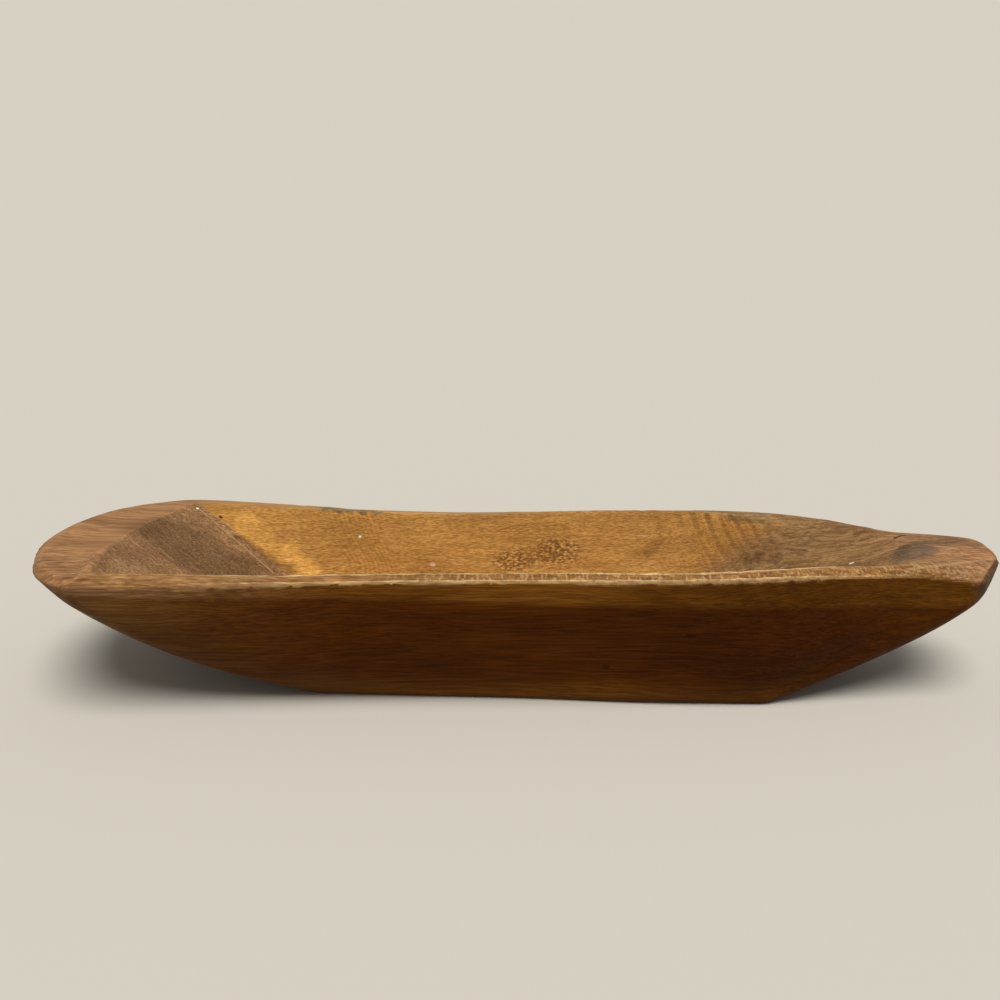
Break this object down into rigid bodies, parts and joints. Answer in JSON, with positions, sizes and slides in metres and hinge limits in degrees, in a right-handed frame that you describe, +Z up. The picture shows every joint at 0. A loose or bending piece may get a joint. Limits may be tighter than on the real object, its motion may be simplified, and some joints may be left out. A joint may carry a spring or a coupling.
{
  "type": "dough bowl",
  "caption": "Long dough bowl carved from solid wood: a waisted trough with sloping walls, a flat base, a broad flat lug at the wide end and a narrower faceted lug at the other.",
  "frame": {"origin": "on the surface the bowl stands on, under the middle of its length and width", "axes": "+X along the bowl towards the narrow lug, +Y across it, +Z up out of its mouth"},
  "size_m": [0.3996, 0.126, 0.0588],
  "materials": {
    "wood": "satin"
  },
  "bodies": {
    "root": {"bowl": "wood"}
  },
  "joints": []
}
